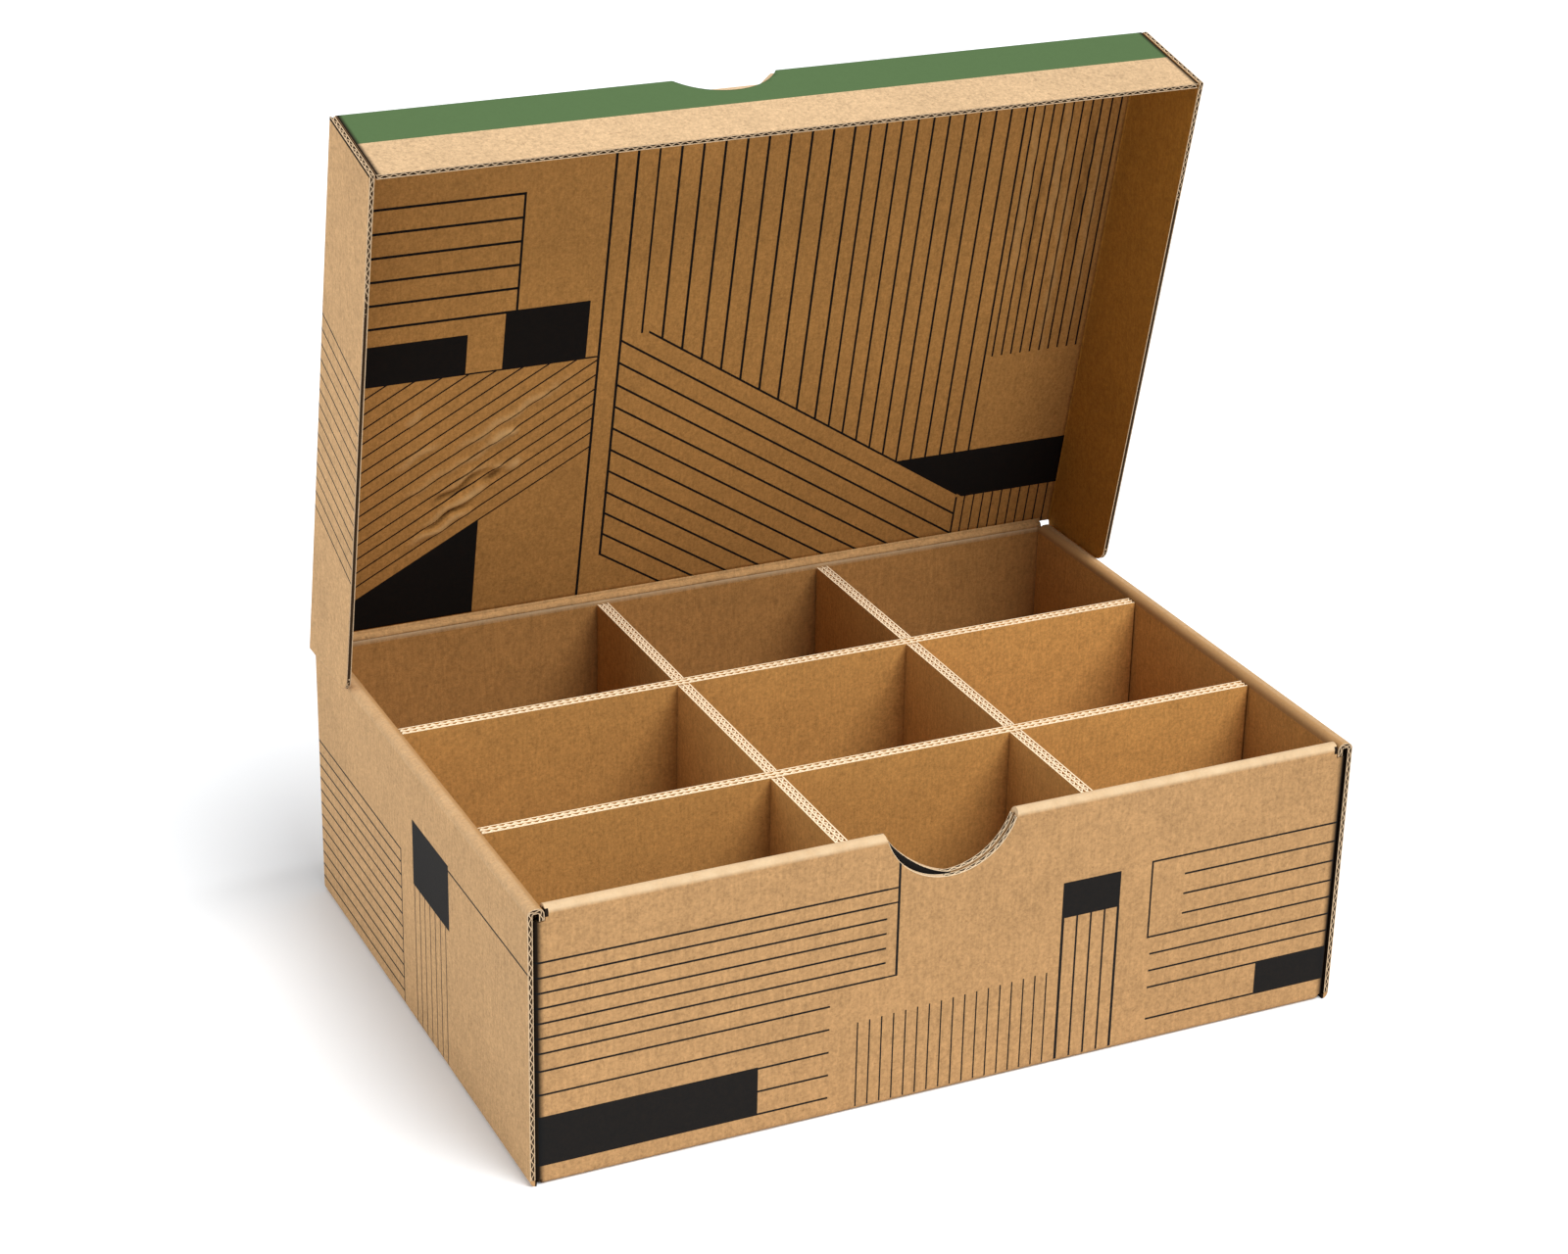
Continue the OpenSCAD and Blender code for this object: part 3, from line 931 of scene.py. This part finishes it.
def lid_notch_cutter():
    """Two closed solids: a round cut down the flange, and a straight-sided one into the panel."""
    z_mid = LID_TOP - NOTCH_DEEP + NOTCH_R
    reach = math.asin(0.93)
    arc = [(NOTCH_X + NOTCH_R * math.sin(a), z_mid - NOTCH_R * math.cos(a))
           for a in np.linspace(-reach, reach, 40)]
    outline = arc + [(arc[-1][0], LID_TOP + 4), (arc[0][0], LID_TOP + 4)]
    near_y, far_y = -LID_LEN - 1, -LID_LEN + BOARD + 0.3
    parts = [([(x, near_y, z) for x, z in outline], [(x, far_y, z) for x, z in outline])]
    half, inner_half = NOTCH_W / 2 - BOARD, NOTCH_W / 2 - 5.5
    front, bend, back = -LID_LEN + 0.6, -LID_LEN + BOARD, -LID_LEN + BOARD + 4
    plan = [(-half, front), (half, front), (half, bend), (inner_half, back), (-inner_half, back),
            (-half, bend)]
    parts.append(([(NOTCH_X + x, y, LID_NEAR - 0.6) for x, y in plan],
                  [(NOTCH_X + x, y, LID_TOP + 3) for x, y in plan]))
    cutters = []
    for low, high in parts:
        sides, ends = solid_faces(0, 2, len(low))
        cutter = new_mesh("cutter", lid_to_row(low + high), ends + sides, [edge_box])
        face_outwards(cutter.data)
        cutters.append(cutter)
    return cutters


def cut_away(obj, cutter):
    """Cuts a closed solid out of a piece and deletes the solid."""
    mod = obj.modifiers.new("cut", "BOOLEAN")
    mod.operation, mod.solver, mod.object = "DIFFERENCE", "EXACT", cutter
    mod.material_mode = "TRANSFER"
    depsgraph = bpy.context.evaluated_depsgraph_get()
    mesh = bpy.data.meshes.new_from_object(obj.evaluated_get(depsgraph))
    obj.modifiers.clear()
    obj.data = mesh
    bpy.data.objects.remove(cutter)


for cutter in lid_notch_cutter():
    cut_away(lid_parts[0], cutter)
print("lid panel after its notch:", len(lid_parts[0].data.polygons), "faces")
# the two faces are smooth, and the cut edges stay sharp
for sheet in lid_parts:
    sheet.data.polygons.foreach_set("use_smooth", [p.material_index < 2 for p in sheet.data.polygons])

# %% [markdown]
# ## The dividers
# A divider is double-wall board: three flat papers with a row of flutes between each two. It could be
# one plain slab, but its pale top edge is one of the things one sees first. So each divider is made of
# five layers, and the two between the papers stop a little short of every edge. The lengthwise ones
# are slotted from below and the crosswise ones from above.

# %% Build the dividers
# the thickness of a divider and of its papers, and how far the flutes' layers stop short
DIV_T, LINER = 4.4, 0.5
CORE_SUNK = 0.8
# where the dividers stand and end, the heights of their foot, slots' ends and top, and the slots' play
LONG_Y = (-47.0, 30.5)
CROSS_X = (-39.7, 50.2)
LONG_HALF, CROSS_FRONT, CROSS_BACK = 143.3, -99.8, 102.7
DIV_FOOT, DIV_MID, DIVIDER_TOP = 1.7, 49.7, BOX_H - 2.3
SLOT_PLAY = 0.35
SLOT = DIV_T / 2 + SLOT_PLAY


def divider_outline(start, end, slots, slot_from_foot, inset):
    """Corners of a divider's side view, as (along, z), drawn in by inset."""
    low, high = DIV_FOOT + inset, DIVIDER_TOP - inset
    deep = DIV_MID + SLOT_PLAY + inset if slot_from_foot else DIV_MID - inset
    foot, top = [(start + inset, low)], [(start + inset, high)]
    for middle in slots:
        cut = [(middle - SLOT - inset, None), (middle - SLOT - inset, deep),
               (middle + SLOT + inset, deep), (middle + SLOT + inset, None)]
        edge, level = (foot, low) if slot_from_foot else (top, high)
        edge += [(a, level if z is None else z) for a, z in cut]
    foot.append((end - inset, low))
    top.append((end - inset, high))
    return foot + top[::-1]


def build_divider(name, lengthwise, place, start, end, slots):
    points, faces, kinds = [], [], []
    core = DIV_T / 2 - 1.5 * LINER
    layers = [(-DIV_T / 2, LINER, 0), (-DIV_T / 2 + LINER, core, 1), (-LINER / 2, LINER, 0),
              (LINER / 2, core, 1), (DIV_T / 2 - LINER, LINER, 0)]
    for low, thick, is_core in layers:
        outline = divider_outline(start, end, slots, lengthwise, CORE_SUNK if is_core else 0)
        n, first = len(outline), len(points)
        for across in (low, low + thick):
            for along, z in outline:
                points.append((along, place + across, z) if lengthwise else (place + across, along, z))
        sides, ends = solid_faces(first, 2, n)
        faces += ends + sides
        kinds += [2] * (n + 2) if is_core else [0] * 2 + [1] * n
    face, hollow = (kraft_lengthwise, hollow_divider_shade) if lengthwise else (kraft_cross, hollow_cross)
    obj = new_mesh(name, points, faces, [face, edge_divider, hollow], kinds)
    face_outwards(obj.data)
    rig.ride(obj, "tray")
    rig.slot(obj, "divider_board")
    return obj


for name, y in zip(("divider_long_front", "divider_long_rear"), LONG_Y):
    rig.replaces(build_divider(name + "_board", True, y, -LONG_HALF, LONG_HALF, CROSS_X), name)
for name, x in zip(("divider_cross_left", "divider_cross_right"), CROSS_X):
    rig.replaces(build_divider(name + "_board", False, x, CROSS_FRONT, CROSS_BACK, LONG_Y), name)
print("dividers replaced")


# %% [markdown]
# ## Flutes
# The wavy paper inside the board shows at every cut edge. It follows a rule, so Geometry Nodes make
# it: a line along the edge is divided into short steps, each point is pushed across the board by a
# sine of its distance, and the wave gets a thickness and a depth. The line's points carry two
# directions, across the board and into it, so one tree serves every edge. A noise shifts the wave,
# and another makes its edge ragged.

# %% The flute tree
def flute_tree():
    tree = bpy.data.node_groups.new("flutes", "GeometryNodeTree")
    sockets = tree.interface.new_socket
    sockets(name="Geometry", in_out="OUTPUT", socket_type="NodeSocketGeometry")
    sockets(name="Geometry", in_out="INPUT", socket_type="NodeSocketGeometry")
    ids = {}
    # lengths in metres
    for key, default in (("pitch", 0.0025), ("swing", 0.0005), ("paper", 0.0002), ("depth", 0.001),
                         ("ragged", 0.00006)):
        item = sockets(name=key, in_out="INPUT", socket_type="NodeSocketFloat")
        item.default_value = default
        ids[key] = item.identifier
    ids["material"] = sockets(name="material", in_out="INPUT", socket_type="NodeSocketMaterial").identifier
    given = tree.nodes.new("NodeGroupInput").outputs

    def maths(kind, *values):
        return math_node(tree, kind, *values)

    def geometry(kind, inputs, **settings):
        return add_node(tree, "GeometryNode" + kind, inputs, **settings).outputs[0]

    def direction(name, length):
        """A direction that the line's points carry, times a length."""
        way = geometry("InputNamedAttribute", {"Name": name}, data_type="FLOAT_VECTOR")
        return scaled(tree, way, length)

    curve = geometry("MeshToCurve", {"Mesh": given[0]})
    step = maths("DIVIDE", given["pitch"], 10.0)
    curve = geometry("ResampleCurve", {"Curve": curve, "Length": step}, mode="LENGTH")
    # the wave across the board
    along = tree.nodes.new("GeometryNodeSplineParameter").outputs["Length"]
    wobble = add_node(tree, "ShaderNodeTexNoise", {"Scale": 260.0, "Detail": 1.0}).outputs["Fac"]
    drift = maths("MULTIPLY", maths("SUBTRACT", wobble, 0.5), 2.6)
    turns = maths("MULTIPLY", maths("DIVIDE", along, given["pitch"]), 2 * math.pi)
    wave = maths("MULTIPLY", maths("SINE", maths("ADD", turns, drift)), given["swing"])
    swing = maths("SUBTRACT", wave, maths("MULTIPLY", given["paper"], 0.5))
    fray = add_node(tree, "ShaderNodeTexNoise", {"Scale": 900.0}).outputs["Fac"]
    sink = maths("MULTIPLY", fray, given["ragged"])
    push = {0: direction("across", swing), 1: direction("inward", sink)}
    offset = add_node(tree, "ShaderNodeVectorMath", push).outputs[0]
    curve = geometry("SetPosition", {"Geometry": curve, "Offset": offset})
    wire = geometry("CurveToMesh", {"Curve": curve})
    # the thickness, then the depth; a second ribbon closes the place that the extrusion leaves open
    ribbon = geometry("ExtrudeMesh", {"Mesh": wire, "Offset": direction("across", given["paper"]),
                                      "Offset Scale": 1.0}, mode="EDGES")
    deep = geometry("ExtrudeMesh", {"Mesh": ribbon, "Offset": direction("inward", given["depth"]),
                                    "Offset Scale": 1.0, "Individual": False}, mode="FACES")
    join = add_node(tree, "GeometryNodeJoinGeometry")
    for part in (deep, ribbon):
        link(tree, part, join.inputs[0])
    closed = geometry("MergeByDistance", {"Geometry": join.outputs[0], "Distance": 0.000001})
    realized = geometry("RealizeInstances", {0: closed})
    painted = geometry("SetMaterial", {"Geometry": realized, "Material": given["material"]})
    link(tree, painted, tree.nodes.new("NodeGroupOutput").inputs[0])
    return tree, ids


flutes, FLUTE_IDS = flute_tree()
print("flute tree nodes:", len(flutes.nodes))


# %% Run the tree along edges
def run_flutes(name, rails, body, slot_name, material, **sizes):
    """rails: lists of (point, across, inward), in millimetres. Sizes are in millimetres too."""
    points, edges, across, inward = [], [], [], []
    for rail in rails:
        first = len(points)
        edges += [(first + i, first + i + 1) for i in range(len(rail) - 1)]
        for p, a, w in rail:
            points.append([c * MM for c in p])
            across.append(a)
            inward.append(w)
    mesh = bpy.data.meshes.new(name)
    mesh.from_pydata(points, edges, [])
    for attribute, values in (("across", across), ("inward", inward)):
        layer = mesh.attributes.new(attribute, "FLOAT_VECTOR", "POINT")
        layer.data.foreach_set("vector", np.array(values, np.float32).ravel())
    obj = bpy.data.objects.new(name, mesh)
    scene.collection.objects.link(obj)
    mod = obj.modifiers.new("flutes", "NODES")
    mod.node_group = flutes
    for key, value in sizes.items():
        mod[FLUTE_IDS[key]] = value * MM
    mod[FLUTE_IDS["material"]] = material
    depsgraph = bpy.context.evaluated_depsgraph_get()
    made = bpy.data.meshes.new_from_object(obj.evaluated_get(depsgraph))
    obj.modifiers.clear()
    obj.data = made
    for attribute in ("across", "inward"):
        if attribute in made.attributes:
            made.attributes.remove(made.attributes[attribute])
    face_outwards(made)
    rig.ride(obj, body)
    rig.slot(obj, slot_name)
    print(name, len(made.polygons), "faces")


def divider_rails():
    """Lines in the middle of each row of flutes in the dividers' top edges."""
    rails = []
    row, gap, height, down = DIV_T / 4 - LINER / 4, 0.3, DIVIDER_TOP - 0.05, (0, 0, -1)
    # a crosswise divider's top is broken by its slots
    stops = [CROSS_FRONT]
    for y in LONG_Y:
        stops += [y - SLOT, y + SLOT]
    stops.append(CROSS_BACK)
    long_end = LONG_HALF - gap
    for y in LONG_Y:
        for shift in (-row, row):
            rails.append([((x, y + shift, height), (0, 1, 0), down) for x in (-long_end, long_end)])
    for x in CROSS_X:
        for shift in (-row, row):
            for a, b in zip(stops[::2], stops[1::2]):
                rails.append([((x + shift, y, height), (1, 0, 0), down) for y in (a + gap, b - gap)])
    return rails


run_flutes("divider_flutes", divider_rails(), "tray", "divider_board", edge_divider,
           pitch=2.8, swing=0.5, paper=0.52, depth=0.75, ragged=0.12)


def lid_rails():
    """Lines in the middle of the lid's cut edges: the front flange and the two side flanges."""
    gap, sunk = 0.35, 0.06

    def rail(places, across, inward):
        """A line on the shut lid, turned to where the lid stands open."""
        across, inward = (tuple(lid_to_row(way) - lid_to_row((0, 0, 0))) for way in (across, inward))
        return [(tuple(lid_to_row(place)), across, inward) for place in places]

    foot = LID_LOW + sunk
    lower = [(x, -LID_LEN + BOARD / 2, foot) for x in (-SEAM + gap, SEAM - gap)]
    rails = [rail(lower, (0, 1, 0), (0, 0, 1))]
    heights = [LID_LOW + t * (LID_NEAR - LID_LOW) for t in (0.0, 0.01, 0.03, 0.06, 0.1, 0.15, 0.5, 1)]
    for side in (-1, 1):
        x = side * (LID_HALF - BOARD / 2)
        lower = [(x, y, foot) for y in (-near_end(LID_LOW), -LID_LEN + gap)]
        front = [(x, -LID_LEN + sunk, z) for z in (LID_LOW + gap, ARC_Z)]
        near = [(x, -near_end(z) - sunk, z) for z in heights]
        for places, inward in ((lower, (0, 0, 1)), (front, (0, 1, 0)), (near, (0, -1, 0))):
            rails.append(rail(places, (1, 0, 0), inward))
    return rails


run_flutes("lid_flutes", lid_rails(), "lid", "kraft_board", edge_box,
           pitch=3.2, swing=0.40, paper=0.36, depth=0.55, ragged=0.1)

# %% [markdown]
# ## The tray's cut edges
# The tray keeps its CAD shape, so its cut edges are dressed with thin channels, a little more than a
# tenth of a millimetre proud: two pale papers with a hollow between them, painted dark as shade, and
# flutes in the hollow. They run up the side walls' ends and over the rolls, and round both layers of
# the thumb notch. The notch's left part was crushed shut when it was cut, so it has no flutes and no
# painted shade.

# %% Dress the tray's cut edges
# the channel's cross-section: across the board, and how far it stands proud of the cut
CHANNEL = [(-0.85, 0.0), (-0.85, 0.14), (-0.57, 0.14), (-0.57, 0.03), (0.57, 0.03), (0.57, 0.14),
           (0.85, 0.14), (0.85, 0.0)]
HOLLOW_SIDES = (2, 3, 4)
# height of the tray's lowest cut edge
FOOT = 2.4
# the thumb notch in the tray: its width, depth and middle, and how much flatter the inner layer's is
TRAY_NOTCH_W, TRAY_NOTCH_DEEP, TRAY_NOTCH_X, NOTCH_FLAT = 48.0, 19.0, -3.0, 2.4
HOLLOW_FROM = -6.0


def edge_channel(name, rails, body, slot_name, papers):
    """A thin channel along each rail of (point, across, inward), as a closed solid."""
    points, faces, kinds = [], [], []
    n = len(CHANNEL)
    for rail in rails:
        first = len(points)
        for p, a, w in rail:
            p, a, w = np.array(p), np.array(a), np.array(w)
            points += [p + a * across - w * proud for across, proud in CHANNEL]
        sides, ends = solid_faces(first, len(rail), n)
        faces += sides + ends
        kinds += [int(k in HOLLOW_SIDES) for k in range(n)] * (len(rail) - 1) + [0, 0]
    obj = new_mesh(name, points, faces, papers, kinds)
    face_outwards(obj.data)
    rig.ride(obj, body)
    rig.slot(obj, slot_name)


def roll_path(foot_z, end_z):
    """Middle line of a side wall's board, seen from the front: up the outer layer and over the roll."""
    left, right = -BOX_W / 2 + FOLD_R, -SIDE_IN - FOLD_R
    centre_z, r = BOX_H - FOLD_R, FOLD_R - BOARD / 2
    turn = np.linspace(0, math.pi / 2, 7)
    path = [(left - r, z) for z in np.linspace(foot_z, centre_z, 8)[:-1]] if foot_z < centre_z - 1 else []
    path += [(left - r * math.cos(a), centre_z + r * math.sin(a)) for a in turn]
    path += [(right + r * math.sin(a), centre_z + r * math.cos(a)) for a in turn]
    return path + ([(right + r, end_z)] if end_z < centre_z - 0.2 else [])


def end_rail(path, y, inward, side):
    """A path of (x, z) as a rail on a face across Y; side mirrors it."""
    pts = np.array(path)
    step = unit(np.gradient(pts, axis=0))
    return [((side * -x, y, z), (side * tz, 0, tx), (0, inward, 0)) for (x, z), (tx, tz) in zip(pts, step)]


def notch_rail(y, flat):
    """Round one layer of the tray's thumb notch, whose left side may be flatter."""
    deep, top = TRAY_NOTCH_DEEP, 98.4
    r = (TRAY_NOTCH_W ** 2 / 4 + deep ** 2) / (2 * deep)
    rim = math.asin((r - deep) / r)
    angles = np.linspace(rim, math.pi - rim, 81)
    share = (angles - rim) / (math.pi - 2 * rim)
    reach = r - np.where(share < 0.5, flat * np.sin(2 * math.pi * share), 0)
    x, z = TRAY_NOTCH_X - reach * np.cos(angles), BOX_H - deep + r - reach * np.sin(angles)
    pts = np.stack([x, z], axis=1)[z < top]
    step = unit(np.gradient(pts, axis=0))
    return [((x, y, z), (0, 1, 0), (tz, 0, -tx)) for (x, z), (tx, tz) in zip(pts, step)]


notch_rails = [notch_rail(-BOX_D / 2 + BOARD / 2, 0), notch_rail(FRONT_IN - BOARD / 2, NOTCH_FLAT)]
crushed = [[stop for stop in rail if stop[0][0] < HOLLOW_FROM + 1] for rail in notch_rails]
notch_rails = [[stop for stop in rail if stop[0][0] > HOLLOW_FROM] for rail in notch_rails]
edge_channel("notch_edges_left", crushed, "tray", "kraft_board", [edge_notch, edge_box])
tray_rails = []
for side in (-1, 1):
    tray_rails.append(end_rail(roll_path(FOOT, 95.5), -BOX_D / 2, 1, side))
    tray_rails.append(end_rail(roll_path(98, 98), BOX_D / 2 - 3, -1, side))
    back_edge, heights = side * (BOX_W / 2 - BOARD / 2), np.linspace(FOOT, BOX_H - FOOT, 8)
    tray_rails.append([((back_edge, BOX_D / 2, z), (1, 0, 0), (0, -1, 0)) for z in heights])
for name, rails, paper, pitch, thick in (("tray_edges", tray_rails, edge_box, 3.4, 0.38),
                                         ("notch_edges", notch_rails, edge_notch, 4.0, 0.46)):
    edge_channel(name, rails, "tray", "kraft_board", [paper, hollow_box_shade])
    proud_rails = [[(np.array(p) - 0.1 * np.array(w), a, w) for p, a, w in rail] for rail in rails]
    run_flutes(name + "_flutes", proud_rails, "tray", "kraft_board", paper,
               pitch=pitch, swing=0.40, paper=thick, depth=0.09, ragged=0.04)

# %% [markdown]
# ## The lid's crease
# On the real box the lid and the back wall are one board, bent along a scored line. The CAD keeps a
# gap there so that the hinge can turn. A bent strip closes it: it follows the tray below and the lid
# above, and bends between them. Its inner side stands up as the pale ridge that a score leaves.

# %% Build the crease
# its cross-section as (y, z): up the inside, over the ridge, and back down the outside
CREASE = [(103.29, 98.9), (103.24, 99.3), (103.36, 99.85), (103.7, 100.28), (104.15, 100.5),
          (104.55, 100.66), (104.76, 101.0), (104.56, 102.0), (106.5, 102.0), (106.73, 100.96),
          (106.55, 100.1), (106.0, 99.3), (105.4, 98.7), (105.06, 98.1)]
RIDGE = range(2, 6)


def build_crease(half):
    points, n, rings = [], len(CREASE), 120
    for x in np.linspace(-half, half, rings):
        # the ridge is a little uneven
        lift = 0.08 * math.sin(x * 0.31) + 0.06 * math.sin(x * 0.83 + 1)
        for k, (y, z) in enumerate(CREASE):
            points.append((x, y - lift, z + lift) if k in RIDGE else (x, y, z))
    sides, ends = solid_faces(0, rings, n)
    obj = new_mesh("lid_crease", points, sides + ends, [kraft_crease])
    face_outwards(obj.data)
    # the two cut sides inside the boards stay flat, so that they don't shade the ridge
    flat_sides = {7, n - 1}
    smooth = [i % n not in flat_sides for i in range(len(sides))] + [False] * 2
    obj.data.polygons.foreach_set("use_smooth", smooth)
    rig.blend(obj, "tray", "lid", start=(0, 0.1040, 0.0985), end=(0, 0.1050, 0.1012))
    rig.slot(obj, "kraft_board")
    return obj


CREASE_HALF = 145.2
crease = build_crease(CREASE_HALF)
print("crease", len(crease.data.polygons), "faces")

# %% Let the lid ride
for sheet in lid_parts:
    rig.ride(sheet, "lid")
    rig.slot(sheet, "kraft_board")
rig.replaces(lid_parts[0], "lid")

# %% Finish
with open("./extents.json", "w") as out_file:
    json.dump({"cad": [list(map(float, c)) for c in cad_bounds],
               "visual": [list(map(float, c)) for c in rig.bounds()]}, out_file)
print("sizes:", open("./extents.json").read())
